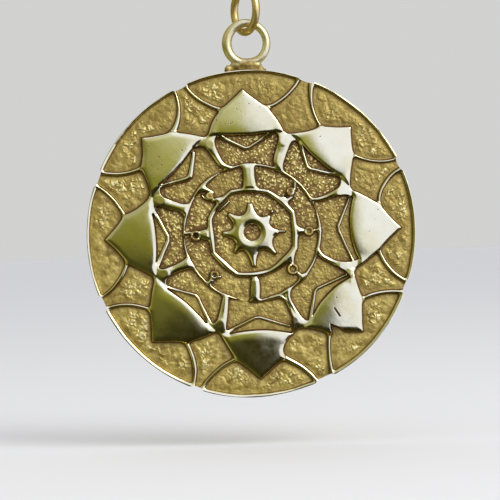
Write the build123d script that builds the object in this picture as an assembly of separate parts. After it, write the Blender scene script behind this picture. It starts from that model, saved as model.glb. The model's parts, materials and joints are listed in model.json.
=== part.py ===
from build123d import *
import math
import os
from collections import namedtuple

# A round cast medallion with a star relief, the loop soldered to its top, and the plain ring that
# it hangs on. Millimetres, +Z up. The face looks towards -Y. The origin is where the pendant is
# hung from: the underside of the top of the hanging ring's wire.

# Driving sizes of the medallion
disc_radius = 16.5
plate_thickness = 1.1  # from the back to the sunk floor of the cells, at the rim
relief_height = 0.6  # from that floor to the polished metal
dome_rise = 0.5  # how far the middle of the face stands proud of its rim
back_edge_bevel = 0.2
gap_dip = 0.25  # how far the outline dips where the raised edge is missing

# Radii of the relief, from the middle of the disc
tip_radius = 14.7  # tips of the eight-pointed star
bow_radius = 14.62  # middles of the bowed lines
foot_radius = 13.0  # where the bowed lines meet the star
notch_radius = 10.85  # between two petals of the star
lip_end_radius = 10.55  # ends of a petal's inner edge
lip_radius = 9.93  # middle of a petal's inner edge
chevron_radius = 8.46
circle_radius = 6.86
bead_place = 5.55
octagon_radius = 4.49
point_radius = 2.9  # drawn-out points of the small star
star_radius = 2.6  # points of the small star without that
root_radius = 2.2  # roots of the drawn-out points
scallop_radius = 2.01
eye_radius = 0.9

# Widths of the raised lines
rim_width = 0.3
arc_width = 0.28
chevron_width = 0.3
spoke_width = 0.62
circle_width = 0.3
bar_width = 0.4
octagon_width = 0.5
bead_radius = 0.53
bead_wall = 0.22
hub_radius = 0.42  # where a spoke and two chevrons meet the star
root_spread = 4.5  # degrees each side of a drawn-out point, at its root

# The loop on top, and its solder seat
loop_wire = 0.85
loop_inner_radius = 1.62
loop_stand = 0.15  # between the loop's lowest point and the medallion's highest
seat_width = 3.6
seat_neck = 2.2
seat_thickness = 1.0
seat_climb = 0.55  # how far the solder climbs the loop's wire
seat_edge = 0.06  # what is left of the seat at its thin ends
seat_let_in = 0.75  # how far the seat reaches into the raised edge, as a share of its width
lump_radius = 0.36  # the lump of solder at the seat's left end

# The ring that it hangs on
ring_wire = 0.8
ring_inner_radius = 1.8
ring_turn = 30  # degrees that it is turned about the vertical, from square to the loop
hang_gap = 0.1  # between the two wires where they bear

# The layout of the relief has eight sectors, the first one towards +X, counted anticlockwise as
# seen from the front. The casting is hand made, so each sector has a row. Turns are degrees from
# the sector's own direction, and the rest are shares of the radius or width of the same name.
sectors = 8
pattern_turn = 1.25

Outer = namedtuple(
    "Outer",
    "tip_turn tip rim_low rim_high bow_low bow_high"
    " foot_low_turn foot_low foot_high_turn foot_high notch_turn notch",
)
OUTER = [
    Outer(-1.0, 1.02, -20.5, 19.5, -17.5, 18.5, -10.0, 1.00, 9.5, 1.02, 21.5, 1.02),
    Outer(-1.7, 0.99, -20.5, 19.5, -18.5, 17.0, -10.5, 1.00, 9.5, 0.99, 22.5, 0.99),
    Outer(0.5, 0.98, -20.5, 20.5, -18.0, 19.3, -10.5, 0.99, 10.5, 0.99, 23.0, 1.00),
    Outer(0.5, 0.99, -20.0, 20.0, -18.2, 18.3, -9.5, 1.00, 11.5, 1.00, 22.5, 1.00),
    Outer(0.0, 0.99, -20.0, 19.5, -17.5, 17.5, -11.0, 1.01, 11.0, 1.01, 22.0, 1.00),
    Outer(-0.3, 1.00, -20.0, 19.5, -18.0, 16.5, -11.0, 1.01, 11.5, 1.01, 22.5, 0.99),
    Outer(0.0, 1.01, -21.0, 21.0, -18.5, 18.0, -11.0, 1.01, 11.5, 1.01, 23.0, 1.00),
    Outer(0.0, 1.02, -18.5, 20.0, -16.0, 17.5, -8.5, 0.97, 10.5, 1.01, 22.5, 1.02),
]

Inner = namedtuple(
    "Inner",
    "lip_low_turn lip_low lip_high_turn lip_high spoke_top spoke_foot spoke"
    " bar_turn bar bead_turn bead point_turn point",
)
INNER = [
    Inner(-17.0, 1.05, 17.0, 1.02, 21.5, 23.5, 0.76, 0.0, 1.0, -1.5, 1.02, -0.5, 0.97),
    Inner(-17.0, 1.00, 15.5, 0.99, 22.0, 21.5, 1.21, 0.0, 0.8, -0.5, 1.00, -2.0, 0.96),
    Inner(-16.0, 0.99, 16.0, 0.99, 22.0, 23.0, 1.13, -0.5, 2.0, None, None, 0.0, 1.08),
    Inner(-15.5, 0.99, 15.5, 1.00, 22.3, 22.2, 0.94, -1.0, 1.0, 2.0, 0.98, 1.0, 1.04),
    Inner(-17.5, 0.97, 17.5, 0.99, 21.5, 22.5, 1.05, -1.0, 1.2, 0.0, 1.02, 0.0, 1.00),
    Inner(-17.5, 0.99, 17.5, 0.99, 24.0, 20.0, 0.94, 1.0, 1.0, 1.0, 0.96, 2.0, 0.96),
    Inner(-17.5, 1.00, 17.5, 1.03, 23.0, 23.3, 1.16, 0.5, 1.8, None, None, 0.0, 1.15),
    Inner(-16.0, 1.00, 17.5, 1.03, 22.5, 24.0, 0.94, 0.3, 0.8, 0.5, 0.99, -2.0, 1.04),
]

# What follows from those sizes
ring_radius = ring_inner_radius + ring_wire / 2
ring_z = -ring_inner_radius
bearing_z = ring_z - ring_radius  # middle of the wire at the bottom of the ring
loop_radius = loop_inner_radius + loop_wire / 2
loop_top_z = bearing_z + ring_wire / 2 + hang_gap + loop_wire / 2
loop_z = loop_top_z - loop_radius
loop_foot_z = loop_z - loop_radius - loop_wire / 2
disc_top_z = loop_foot_z - loop_stand
disc_z = disc_top_z - disc_radius
back_y = (plate_thickness + relief_height) / 2  # the loop stands at the middle of the rim
floor_y = back_y - plate_thickness
crown_y = floor_y - relief_height - dome_rise
dome_radius = (disc_radius**2 + dome_rise**2) / (2 * dome_rise)
cut_depth = 2 * (back_y - crown_y)  # from the back to well past the face


def spot(radius, turn):
    """A point of the flat drawing, by its distance from the middle and its angle."""
    angle = math.radians(turn)
    return Vector(radius * math.cos(angle), radius * math.sin(angle))


def heading(index):
    return pattern_turn + index * 360 / sectors


def polygon(points):
    return make_face(Polyline(*points, close=True))


def ribbon(points, width):
    """A flat strip of one width along straight runs, mitred at the bends."""
    left, right = [], []
    for i, point in enumerate(points):
        before = (point - points[i - 1]).normalized() if i > 0 else None
        after = (points[i + 1] - point).normalized() if i < len(points) - 1 else None
        along = ((before or after) + (after or before)).normalized()
        across = Vector(-along.Y, along.X)
        run = after or before
        reach = width / 2 / abs(across.dot(Vector(-run.Y, run.X)))
        left.append(point + across * reach)
        right.append(point - across * reach)
    return polygon(left + right[::-1])


def bowed_strip(start, middle, end, width):
    """A flat strip of one width along the round arc through three points."""
    ax, ay = middle.X - start.X, middle.Y - start.Y
    bx, by = end.X - start.X, end.Y - start.Y
    turn = 2 * (ax * by - ay * bx)
    aa, bb = ax * ax + ay * ay, bx * bx + by * by
    centre = start + Vector((by * aa - ay * bb) / turn, (ax * bb - bx * aa) / turn)

    def side(point, offset):
        return point + (point - centre).normalized() * offset

    outer = [side(point, width / 2) for point in (start, middle, end)]
    inner = [side(point, -width / 2) for point in (end, middle, start)]
    ends = [Line(outer[2], inner[0]), Line(inner[2], outer[0])]
    return make_face(Curve() + [ThreePointArc(*outer), ThreePointArc(*inner), *ends])


def rim_and_arcs():
    """The raised edge, and the bowed lines that part each lens-shaped cell from its neighbours."""
    faces = []
    rim_radius = disc_radius - rim_width / 2
    for i, row in enumerate(OUTER):
        low, high = heading(i) + row.rim_low, heading(i) + row.rim_high
        edge = [spot(rim_radius, turn) for turn in (low, (low + high) / 2, high)]
        faces.append(bowed_strip(*edge, rim_width))
        arcs = [
            (row.rim_low, row.bow_low, row.foot_low_turn, row.foot_low),
            (row.rim_high, row.bow_high, row.foot_high_turn, row.foot_high),
        ]
        for rim, bow, foot_turn, foot in arcs:
            start = spot(rim_radius, heading(i) + rim)
            middle = spot(bow_radius, heading(i) + bow)
            end = spot(foot_radius * foot, heading(i) + foot_turn)
            end += (end - middle).normalized() * arc_width
            faces.append(bowed_strip(start, middle, end, arc_width))
    return faces


def lip_ends(index):
    row = INNER[index]
    low = spot(lip_end_radius * row.lip_low, heading(index) + row.lip_low_turn)
    high = spot(lip_end_radius * row.lip_high, heading(index) + row.lip_high_turn)
    return low, high


def star():
    """The eight-pointed star: a polished field from its tips in to the petals' inner edges."""
    outline, lips = [], []
    for i, row in enumerate(OUTER):
        outline += [
            spot(foot_radius * row.foot_low, heading(i) + row.foot_low_turn),
            spot(tip_radius * row.tip, heading(i) + row.tip_turn),
            spot(foot_radius * row.foot_high, heading(i) + row.foot_high_turn),
            spot(notch_radius * row.notch, heading(i) + row.notch_turn),
        ]
        low, high = lip_ends(i)
        following = lip_ends((i + 1) % sectors)[0]
        lips += [ThreePointArc(low, spot(lip_radius, heading(i)), high), Line(high, following)]
    return polygon(outline) - make_face(Curve() + lips)


def chevrons_and_spokes():
    """The chevron across each petal's root, and the spoke and its hub between two petals."""
    faces = []
    for i, (outer, row) in enumerate(zip(OUTER, INNER)):
        low, high = lip_ends(i)
        apex = spot(chevron_radius, heading(i))
        low += (low - apex).normalized() * chevron_width
        high += (high - apex).normalized() * chevron_width
        faces.append(ribbon([low, apex, high], chevron_width))
        hub = spot(notch_radius * outer.notch - hub_radius, heading(i) + outer.notch_turn)
        faces.append(Pos(*hub) * Circle(hub_radius))
        top = spot(notch_radius * outer.notch - hub_radius, heading(i) + row.spoke_top)
        foot = spot(circle_radius, heading(i) + row.spoke_foot)
        faces.append(ribbon([top, foot], spoke_width * row.spoke))
    return faces


def band():
    """The round line inside the petals, the octagon, and the bars and beads between them."""
    flat_radius = octagon_radius * math.cos(math.pi / sectors)
    corners = [spot(octagon_radius, heading(i + 0.5)) for i in range(sectors)]
    spread = octagon_width / 2 / flat_radius
    octagon = polygon([p * (1 + spread) for p in corners]) - polygon([p * (1 - spread) for p in corners])
    ring = Circle(circle_radius + circle_width / 2) - Circle(circle_radius - circle_width / 2)
    faces = [ring, octagon]
    for i, row in enumerate(INNER):
        turn = heading(i) + row.bar_turn
        faces.append(ribbon([spot(circle_radius, turn), spot(flat_radius, turn)], bar_width * row.bar))
    return faces


def beads(radius):
    """A disc at each bead's place."""
    return [
        Pos(*spot(bead_place * row.bead, heading(i) + row.bead_turn)) * Circle(radius)
        for i, row in enumerate(INNER)
        if row.bead is not None
    ]


def small_star():
    """The middle star, scalloped between its points, with a blind round eye."""
    points = [spot(star_radius, heading(i) + row.point_turn) for i, row in enumerate(INNER)]
    scallops = [
        ThreePointArc(point, spot(scallop_radius, heading(i + 0.5)), points[(i + 1) % sectors])
        for i, point in enumerate(points)
    ]
    face = make_face(Curve() + scallops)
    for i, row in enumerate(INNER):
        turn = heading(i) + row.point_turn
        roots = [spot(root_radius, turn - root_spread), spot(root_radius, turn + root_spread)]
        face += polygon([*roots, spot(point_radius * row.point, turn)])
    return face - Circle(eye_radius)


def relief_outline():
    """Everything that is raised, as one flat drawing."""
    first, *rest = [star(), small_star(), *rim_and_arcs(), *chevrons_and_spokes(), *band()]
    return Sketch() + first.fuse(*rest, *beads(bead_radius)) - beads(bead_radius - bead_wall)


def disc_outline():
    """The round outline, which dips in each gap between two lens-shaped cells."""
    face = Circle(disc_radius)
    inside, outside = disc_radius - gap_dip, disc_radius + gap_dip
    for i, row in enumerate(OUTER):
        low = heading(i) + row.rim_high
        high = heading(i + 1) + OUTER[(i + 1) % sectors].rim_low
        face -= polygon([spot(inside, low), spot(outside, low), spot(outside, high), spot(inside, high)])
    return face


def facing(y, drawing):
    """Stands a flat drawing up at depth y, seen from the front, and extrudes it past the face."""
    plane = Plane((0, y, disc_z), x_dir=(1, 0, 0), z_dir=(0, -1, 0))
    return Location(plane) * extrude(drawing, amount=cut_depth)


def dome(lowest_y):
    """The ball whose surface is the domed face, with its crown at the given depth."""
    return Pos(0, lowest_y + dome_radius, disc_z) * Sphere(dome_radius)


def medallion():
    blank = facing(back_y, disc_outline())
    blank = chamfer(blank.faces().sort_by(Axis.Y)[-1].outer_wire().edges(), back_edge_bevel)
    plate = blank & dome(crown_y + relief_height)
    raised = blank & dome(crown_y) & facing((back_y + floor_y) / 2, relief_outline())
    return plate + raised


def solder_seat():
    """The saddle of solder that carries the loop, with a lump at its left end."""
    half, neck = seat_width / 2, seat_neck / 2
    bottom = disc_top_z - seat_let_in * rim_width
    end_z = disc_z + math.sqrt(disc_radius**2 - half**2) + seat_edge
    top = loop_foot_z + seat_climb
    corners = [(-half, bottom), (-half, end_z), (-neck, top), (neck, top), (half, end_z), (half, bottom)]
    saddle = extrude(Plane.XZ * polygon(corners), amount=seat_thickness / 2, both=True)
    lump = Pos(-half, 0, end_z + lump_radius / 2) * Sphere(lump_radius)
    return saddle + lump


def loop():
    return Pos(0, 0, loop_z) * Rot(90, 0, 0) * Torus(loop_radius, loop_wire / 2)


def jump_ring():
    return Pos(0, 0, ring_z) * Rot(0, 0, ring_turn) * Rot(0, 90, 0) * Torus(ring_radius, ring_wire / 2)


parts = {
    "medallion": medallion() + solder_seat() + loop(),
    "jump_ring": jump_ring(),
}

os.makedirs("parts", exist_ok=True)
for name, shape in parts.items():
    export_step(shape, f"parts/{name}.step")
    print(name, len(shape.solids()), "solid", round(shape.volume, 2), "mm3")
print("swing axis z", round(loop_top_z, 3), "disc z", round(disc_z, 3), "back y", round(back_y, 3))
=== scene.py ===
import json
import math
from collections import namedtuple

import bpy
import numpy as np
from mathutils import Matrix, Vector


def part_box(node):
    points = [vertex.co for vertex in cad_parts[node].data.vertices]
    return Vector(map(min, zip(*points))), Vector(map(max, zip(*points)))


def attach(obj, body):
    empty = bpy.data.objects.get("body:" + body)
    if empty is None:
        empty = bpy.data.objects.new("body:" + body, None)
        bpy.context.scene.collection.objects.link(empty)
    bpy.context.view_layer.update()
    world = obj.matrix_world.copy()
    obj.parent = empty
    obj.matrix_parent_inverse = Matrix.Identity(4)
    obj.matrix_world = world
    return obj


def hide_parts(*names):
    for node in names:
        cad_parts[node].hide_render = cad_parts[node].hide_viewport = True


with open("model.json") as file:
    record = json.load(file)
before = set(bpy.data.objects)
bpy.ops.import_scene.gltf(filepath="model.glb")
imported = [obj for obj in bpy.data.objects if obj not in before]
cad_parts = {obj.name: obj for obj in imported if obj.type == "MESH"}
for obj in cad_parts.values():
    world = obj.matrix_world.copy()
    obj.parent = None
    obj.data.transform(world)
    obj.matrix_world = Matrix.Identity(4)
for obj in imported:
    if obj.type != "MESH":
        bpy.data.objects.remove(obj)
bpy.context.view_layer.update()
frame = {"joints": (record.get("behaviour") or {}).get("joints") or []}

# A cast medallion with a star relief, its soldered loop, and the ring that it hangs on. The relief is
# first drawn as a grid of heights, in millimetres about the middle of the disc, with u to the right and
# v up as the face is seen. The meshes of the face then take their depths and normals from that grid.

MM = 0.001

# Places and sizes that follow the frame, in millimetres
medallion_low, medallion_high = [np.array(corner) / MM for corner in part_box("medallion")]
ring_low, ring_high = [np.array(corner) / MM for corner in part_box("jump_ring")]
disc_radius = (medallion_high[0] - medallion_low[0]) / 2
disc_z = medallion_low[2] + disc_radius
back_y = medallion_high[1]
crown_y = medallion_low[1]
swing_z = frame["joints"][0]["pos_m"][2] / MM
loop_wire = 2 * (medallion_high[2] - swing_z)
loop_radius = 2.47
ring_wire = ring_high[2]
ring_radius = (ring_high[2] - ring_low[2] - ring_wire) / 2
ring_z = (ring_high[2] + ring_low[2]) / 2
ring_turn = 120

# Heights of the relief over the sunk floor, and the widths, slopes and shares with which they change
crown_height = 0.6
dome_rise = 0.5
relief_height = 0.54
recess_height = 0.12
petal_lift = 0.02
petal_crown = 0.1
petal_drop = 0.3
petal_soften = 0.07
petal_half_width = 4.15
waist = 0.13
lip_fall = 0.035
lip_power = 2.5
lip_fade_start = 0.62
lip_fade_end = 0.92
outside_slope = 0.6
flank_fall = 0.04
flank_width = 0.5
edge_fall = 0.04
edge_width = 0.16
ridge_round = 0.1
ridge_round_width = 0.3
ridge_soften = 0.06
thin_share = 0.85
neck_rise = 0.04
skirt_start = 0.05
skirt_slope = 0.28
wall_width = 0.15
lip_slope = 0.12
star_fall = 0.05
star_round = 0.1
star_round_width = 0.35
star_soften = 0.04
eye_fall = 0.08
eye_depth = 0.34
pit_depth = 0.008
bead_share = 0.95
hole_share = 0.6

# How far from a wall its foot is darkened, as patina and painted shade, and how far the painted shade of
# narrow places reaches
foot_reach = 0.15
shade_reach = 0.5

# Radii of the relief, from the middle of the disc, and how softly the pupil's edge counts as open floor
rim_radius = 15.8
tip_radius = 14.7
bow_radius = 14.62
foot_radius = 13.0
bend_radius = 11.9
coarse_radius = 11.5
notch_radius = 10.5
neck_radius = 9.78
lip_end_radius = 10.6
lip_radius = 9.9
fine_radius = 9.5
spoke_radius = 9.0
chevron_radius = 8.46
root_radius = 7.6
circle_radius = 6.84
bead_radius = 5.6
octagon_radius = 4.4
point_radius = 2.9
scallop_radius = 1.95
eye_radius = 1.42
pupil_radius = 0.9
pupil_blend = 0.1

# Widths of the raised lines, and those over which lines, beads, lips and petals run into each other
rim_width = 0.4
rim_inset = 0.05
arc_width = 0.2
chevron_width = 0.2
spoke_width = 0.8
circle_width = 0.16
octagon_width = 0.4
bar_width = 0.28
bead_wall = 0.14
bead_blend = 0.14
lip_width = 1.2
flare = 0.3
corner_flare = 0.05
bar_start = 0.1
spoke_end = 0.1
neck_reach = 1.4
neck_fade = 0.8 * neck_reach
petal_flare = 0.45
chevron_flare = 0.14

# The back: how far its edge is rounded, the width of the first ring inside that, how far the side wall
# bulges, and how far the flat is sunk and waves
back_round = 0.25
back_step = 0.12
side_bulge = 0.02
back_sink = 0.02
back_wave = 0.018


def table(names, *rows):
    """Rows of values, by the names of their columns."""
    row_type = namedtuple("Row", names)
    return [row_type(*row) for row in rows]


# The layout of the relief has eight sectors, the first one towards +X, counted anticlockwise as seen from
# the front. Turns are degrees from the sector's own direction, and the rest are shares of the radius or
# width of the same name. Low and high are the sides of smaller and larger turn.
sectors = 8
pattern_turn = 1.25
# The direction, in degrees, towards which the floors are painted lighter, as painted light
painted_light_turn = 240

# How far the disc's outline lies outside a circle, as turns and shares of the radius, and the degrees over
# which that is smoothed
EDGE = [
    (-22, -0.002), (18, -0.001), (58, -0.008), (123, -0.006), (148, 0.002), (178, 0.007),
    (213, 0.012), (253, 0.012), (268, 0.005), (288, -0.006), (308, 0.006),
]
edge_spread = 7.0

# How deep the outline dips in the rim's gaps, and the degrees by which a dip outreaches its gap and fades
gap_dip = 0.014
gap_reach = 1.2
gap_fade = 1.6

# Each petal's tip, its feet and bends on both sides, and the notch between it and the next one
PETALS = table(
    "tip_turn tip low_turn low low_bend_turn low_bend"
    " high_turn high high_bend_turn high_bend notch_turn notch",
    (-1.0, 1.024, -10.4, 0.992, -17.5, 0.984, 9.4, 1.012, 15.8, 0.988, 21.0, 1.024),
    (-1.3, 0.990, -10.3, 0.988, -16.3, 0.979, 9.0, 0.981, 13.8, 0.967, 23.0, 0.990),
    (0.7, 0.983, -10.0, 0.977, -16.3, 0.967, 11.0, 0.981, 16.8, 0.984, 22.4, 1.000),
    (1.3, 0.993, -9.5, 0.988, -16.3, 0.971, 11.8, 0.988, 16.8, 0.971, 22.2, 1.025),
    (-0.2, 1.003, -10.5, 0.996, -15.3, 0.979, 10.6, 0.992, 15.8, 0.984, 21.8, 1.014),
    (-0.4, 1.007, -11.0, 0.992, -17.7, 0.971, 11.0, 0.988, 16.2, 0.984, 23.0, 0.986),
    (0.5, 1.000, -10.2, 0.988, -15.8, 0.967, 11.8, 1.000, 13.0, 0.988, 22.8, 1.005),
    (0.5, 1.014, -10.4, 0.981, -15.8, 0.958, 11.0, 0.996, 16.8, 0.975, 22.0, 1.029),
)

# The narrow wedge of floor that cuts into the last petal beside its low foot: radii, turns and widths
SPUR = [(13.5, -7.6, 1.5), (12.95, -7.6, 1.0), (12.5, -7.5, 0.5), (12.1, -7.3, 0.08)]

# The rim of each outer cell, and the two bowed lines from its ends to the petal's feet. Top, width and foot
# are shares of the bowed line's width at the rim, midway and at the petal.
CELLS = table(
    "rim_low rim_low_width low_bow low_top low_width low_foot"
    " rim_high rim_high_width high_bow high_top high_width high_foot",
    (-20.4, 1.0, -18.2, 1.5, 1.3, 1.2, 20.1, 0.8, 18.5, 1.5, 1.0, 0.8),
    (-21.0, 0.5, -18.5, 0.7, 0.6, 0.6, 20.2, 0.6, 18.0, 2.2, 0.8, 0.6),
    (-20.2, 0.6, -18.0, 0.9, 0.8, 1.0, 21.4, 0.8, 19.2, 0.8, 1.1, 1.1),
    (-19.4, 0.5, -17.8, 0.5, 1.1, 2.3, 20.3, 1.1, 18.3, 1.1, 1.2, 1.3),
    (-19.9, 0.9, -17.2, 0.8, 0.8, 1.0, 20.3, 0.8, 18.0, 0.6, 1.2, 1.0),
    (-20.5, 1.1, -18.2, 1.0, 1.0, 1.0, 21.0, 1.2, 18.7, 0.8, 1.7, 1.3),
    (-20.9, 1.2, -18.0, 1.0, 1.0, 1.2, 20.9, 0.8, 17.8, 1.3, 1.7, 2.2),
    (-18.4, 1.1, -15.8, 1.8, 0.8, 1.3, 20.5, 1.2, 18.0, 1.3, 1.3, 1.3),
)

# The inner edge of each petal, and how far and how deep it is rounded off
LIPS = table(
    "low_turn low turn radius high_turn high width fall",
    (-16.8, 1.052, 0.0, 1.000, 16.3, 1.028, 1.7, 1.6),
    (-15.3, 1.005, -0.5, 1.000, 14.7, 0.986, 1.7, 1.8),
    (-16.2, 0.990, -0.5, 1.002, 16.7, 0.990, 1.6, 1.8),
    (-13.2, 0.988, 0.5, 1.005, 15.0, 0.984, 0.7, 0.7),
    (-13.5, 0.967, 0.5, 0.980, 15.7, 0.970, 0.7, 1.2),
    (-14.2, 0.972, 0.0, 0.980, 14.7, 0.970, 1.0, 1.4),
    (-15.2, 0.991, -1.0, 0.997, 19.0, 1.038, 0.9, 1.5),
    (-14.2, 1.009, 0.5, 0.997, 17.7, 1.038, 2.2, 1.8),
)

# How far each petal is domed, how far its outer edges are rounded off, the turn of its dome's slope, and
# how far the dome's top lies off the petal's middle
PILLOWS = table(
    "crown flank slope_turn shift",
    (0.3, 0.1, 90, 0),
    (0.7, 0.4, 90, 0),
    (1.0, 0.8, 90, 0),
    (1.0, 1.0, 60, 0),
    (1.0, 1.0, 90, 0),
    (1.0, 1.0, 90, 0),
    (1.0, 1.0, 90, 0),
    (1.5, 1.1, 34, 0.14),
)

# The chevron below each lip. grain is how crumbly the shallow floor between the two is. The apex is cut off
# by a small share of each arm.
apex_share = 0.07
CHEVRONS = table(
    "low_turn low low_width turn radius width high_turn high high_width grain",
    (-19.2, 1.009, 0.7, 0.0, 1.016, 0.9, 17.0, 0.991, 0.5, 0.6),
    (-15.3, 1.000, 1.0, 0.8, 1.011, 1.2, 14.7, 0.981, 1.2, 1.0),
    (-15.5, 0.991, 1.0, 0.8, 1.001, 1.2, 16.7, 0.981, 1.5, 1.0),
    (-11.8, 0.934, 1.3, 0.8, 0.983, 2.0, 16.5, 0.995, 0.8, 0.7),
    (-16.2, 0.962, 1.2, 0.8, 0.993, 1.5, 18.7, 0.986, 1.6, 0.3),
    (-16.0, 0.962, 0.7, 1.2, 0.989, 1.0, 19.3, 0.981, 1.7, 0.2),
    (-18.2, 0.991, 1.1, 0.8, 1.007, 1.0, 18.7, 0.953, 0.7, 0.1),
    (-14.7, 1.000, 1.1, 0.2, 1.013, 0.9, 17.7, 0.981, 0.6, 0.1),
)

# The spoke on the high side of each sector: its turn and width at the star, midway, at its root and where
# it runs into the round line
SPOKES = table(
    "top_turn top_width turn width root_turn root_width foot_turn foot_width",
    (22.5, 0.88, 22.5, 0.60, 23.6, 0.42, 26.5, 0.25),
    (22.4, 1.40, 22.3, 1.35, 21.4, 1.20, 16.5, 0.30),
    (22.7, 1.20, 22.4, 0.90, 21.2, 0.65, 15.5, 0.25),
    (22.7, 1.10, 23.2, 1.10, 22.7, 1.00, 22.7, 1.40),
    (22.6, 1.20, 22.3, 0.88, 22.6, 1.05, 22.7, 1.40),
    (23.6, 1.20, 23.1, 1.05, 21.2, 0.75, 19.5, 0.50),
    (26.5, 0.55, 26.05, 0.40, 26.25, 0.40, 29.5, 0.30),
    (22.6, 1.00, 22.3, 0.56, 23.2, 0.50, 27.0, 0.25),
)

# Width of the round line, five places to a sector. It fades out where the casting didn't fill.
circle_turns = (-20, -10, 0, 10, 20)
CIRCLE = [
    (1.2, 1.4, 1.4, 1.0, -0.6),
    (0.9, 0.9, 1.0, 1.0, 1.2),
    (0.8, 0.8, 1.0, 0.8, 1.1),
    (-0.9, 1.6, 1.9, 0.8, 1.2),
    (1.6, 1.1, -0.6, 0.8, 0.6),
    (1.2, 0.9, 0.9, 0.9, 1.0),
    (1.1, -1.5, 0.3, 1.1, 1.1),
    (1.6, 0.7, 1.6, 0.8, 0.6),
]

# The octagon: each side's middle, and the corner on its high side
SIDES = table(
    "radius width corner_turn corner corner_width",
    (0.985, 1.3, 23.7, 1.045, 0.9),
    (0.980, 1.2, 21.5, 1.000, 0.9),
    (0.980, 1.0, 23.7, 1.035, 0.8),
    (1.005, 0.7, 24.7, 1.000, 0.9),
    (0.935, 1.4, 24.7, 1.000, 0.9),
    (0.950, 1.4, 23.2, 1.000, 0.9),
    (0.960, 0.9, 23.7, 0.965, 0.9),
    (0.980, 1.5, 22.7, 1.045, 1.2),
)

# Beads between the octagon and the round line. Their sizes are radii in millimetres, and the hole is how
# much of the bead's height it takes away.
BEADS = table(
    "sector turn radius size hole",
    (0, -1.5, 1.027, 0.42, 0.6),
    (1, -0.9, 1.010, 0.36, 0.3),
    (3, 1.7, 1.000, 0.36, 0.3),
    (4, 0.4, 1.014, 0.46, 1.6),
    (5, 0.5, 1.010, 0.40, 0.9),
    (7, 0.7, 0.982, 0.52, 1.0),
)

# Bars and small lines between the octagon and the round line: the sector, and each knot's turn, reach and
# width. Reach is 0 on the octagon and 1 on the round line.
BARS = [
    (0, [(-1.0, 1.0, 0.5), (-1.0, 0.78, 0.5)]),
    (0, [(-0.8, 0.38, 1.0), (-0.5, 0.23, 1.8), (-0.5, 0.04, 3.0)]),
    (1, [(-0.3, 0.12, 1.2), (-0.3, 0.02, 1.8)]),
    (1, [(-5.0, 0.14, 1.0), (-5.6, 0.40, 0.6), (-3.6, 0.64, 0.5), (1.2, 0.90, 0.4)]),
    (1, [(-1.5, -0.57, 0.5), (-1.5, -0.61, 0.6)]),
    (0, [(-0.8, -0.45, 0.2), (-0.8, -0.80, 0.7)]),
    (2, [(0.4, 1.0, 4.2), (0.1, 0.49, 3.8), (-0.2, 0.02, 4.8)]),
    (3, [(0.8, 0.98, 1.8), (-1.7, 0.74, 1.2), (-4.0, 0.49, 0.4)]),
    (3, [(-4.2, 0.02, 2.1), (-0.8, 0.18, 1.4), (2.8, 0.27, 0.8)]),
    (3, [(5.2, 0.41, 0.25), (6.4, 0.60, 0.3), (5.4, 0.76, 0.25)]),
    (3, [(7.5, -0.20, 0.3), (2.7, -0.22, 0.5), (-4.3, -0.23, 0.5), (-12.0, -0.20, 0.3)]),
    (4, [(-2.2, 0.98, 0.6), (-2.8, 0.66, 0.8)]),
    (4, [(-0.3, 0.31, 2.6), (-0.3, 0.04, 3.6)]),
    (5, [(1.8, 0.94, 1.0), (1.6, 0.78, 1.4), (1.2, 0.68, 1.0)]),
    (5, [(6.2, 0.43, 0.5), (2.2, 0.59, 0.6), (-1.8, 0.64, 0.5)]),
    (6, [(-0.3, 0.98, 2.9), (0.3, 0.57, 3.2), (0.8, 0.22, 2.7)]),
    (6, [(24.75, 2.46, 1.0), (23.7, 1.885, 0.8), (23.7, 1.31, 0.7), (20.0, 1.045, 0.6), (12.75, 1.0, 0.5)]),
    (7, [(1.0, 1.02, 2.6), (1.1, 0.86, 1.0), (1.0, 0.70, 0.8)]),
    (7, [(4.7, 0.29, 0.9), (9.2, 0.16, 1.4), (14.2, 0.09, 1.2)]),
]

# The small star in the middle. blunt is half the angle that the end of a point takes up.
POINTS = table(
    "turn radius blunt scallop_turn scallop",
    (-0.8, 0.91, 4.0, 18.7, 1.015),
    (-5.0, 0.86, 3.0, 20.7, 0.935),
    (0.8, 1.02, 4.0, 24.0, 1.015),
    (3.5, 1.03, 2.5, 25.0, 1.000),
    (-0.8, 1.00, 3.5, 23.0, 0.985),
    (0.8, 0.90, 3.0, 20.7, 1.000),
    (1.2, 1.17, 2.6, 24.0, 1.000),
    (0.8, 1.09, 2.0, 20.0, 1.130),
)

# Casting pits in each petal, where they may lie in it and how large they are, and the ends of a scar, as
# radii and turns from the first sector
PITS = (12, 13, 22, 22, 16, 6, 4, 6)
pit_radii = (10.5, 14.3)
pit_turns = (-16, 16)
pit_sizes = (-0.02, 0.03)
pit_reach = 0.06
pit_edge = 0.08
SCAR = ((11.25, -45.5), (12.15, -46.5))
scar_size = 0.05


# The grid of heights
grid_step = 0.035
grid_half = disc_radius + 0.7
axis = np.arange(-grid_half, grid_half, grid_step)
U, V = np.meshgrid(axis, axis)
RADIUS = np.hypot(U, V)
TURN = np.degrees(np.arctan2(V, U))

# The distance that is given to points far from what is drawn
far_away = 2.0


def smooth(value, low=0.0, high=1.0):
    """0 below low, 1 above high, and an S-shaped rise between them."""
    share = np.clip((value - low) / (high - low), 0, 1)
    return share * share * (3 - 2 * share)


def soft_min(a, b, blend):
    """The lower of the two, with a rounded corner where they cross."""
    share = np.maximum(blend - np.abs(a - b), 0) / blend
    return np.minimum(a, b) - share * share * blend / 4


def soft_max(a, b, blend):
    return -soft_min(-a, -b, blend)


def blur(field, radius):
    """The field averaged over a round spot of that radius."""
    across = np.fft.rfftfreq(field.shape[1], grid_step)
    down = np.fft.fftfreq(field.shape[0], grid_step)
    kernel = np.exp(-2 * (np.pi * radius) ** 2 * (across[None, :] ** 2 + down[:, None] ** 2))
    return np.fft.irfft2(np.fft.rfft2(field) * kernel, field.shape)


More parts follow.
